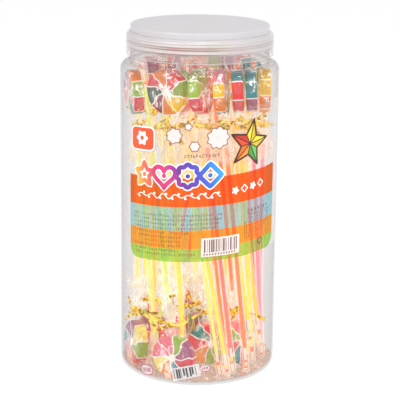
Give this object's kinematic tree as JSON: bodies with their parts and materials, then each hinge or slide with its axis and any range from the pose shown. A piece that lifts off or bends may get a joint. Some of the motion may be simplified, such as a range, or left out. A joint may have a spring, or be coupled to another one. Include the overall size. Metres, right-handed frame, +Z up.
{
  "type": "jar of pinwheel lollipops",
  "caption": "Shut clear screw-top jar with a printed film label, filled with wrapped pinwheel lollipops standing heads up and heads down.",
  "frame": {"origin": "centre of the jar's foot", "axes": "+Z up along the jar, -Y to the front, where the label is"},
  "size_m": [0.125, 0.1256, 0.2782],
  "materials": {
    "jar_plastic": "clear moulded plastic, smooth and thin-walled",
    "lid_plastic": "clear moulded plastic, hazy on its raised top",
    "label_film": "thin clear film printed in bands",
    "candy": "boiled sweet in coloured wedges, in clear film on a translucent stick"
  },
  "bodies": {
    "root": {"jar": "jar_plastic", "lid": "lid_plastic", "label": "label_film", "lollipop_up_01": "candy", "lollipop_up_02": "candy", "lollipop_up_03": "candy", "lollipop_up_04": "candy", "lollipop_up_05": "candy", "lollipop_up_06": "candy", "lollipop_up_07": "candy", "lollipop_up_08": "candy", "lollipop_up_09": "candy", "lollipop_up_10": "candy", "lollipop_up_11": "candy", "lollipop_up_12": "candy", "lollipop_up_13": "candy", "lollipop_up_14": "candy", "lollipop_up_15": "candy", "lollipop_up_16": "candy", "lollipop_up_17": "candy", "lollipop_up_18": "candy", "lollipop_up_19": "candy", "lollipop_down_01": "candy", "lollipop_down_02": "candy", "lollipop_down_03": "candy", "lollipop_down_04": "candy", "lollipop_down_05": "candy", "lollipop_down_06": "candy", "lollipop_down_07": "candy", "lollipop_down_08": "candy", "lollipop_down_09": "candy", "lollipop_down_10": "candy", "lollipop_down_11": "candy", "lollipop_down_12": "candy", "lollipop_down_13": "candy", "lollipop_down_14": "candy", "lollipop_down_15": "candy"}
  },
  "joints": []
}
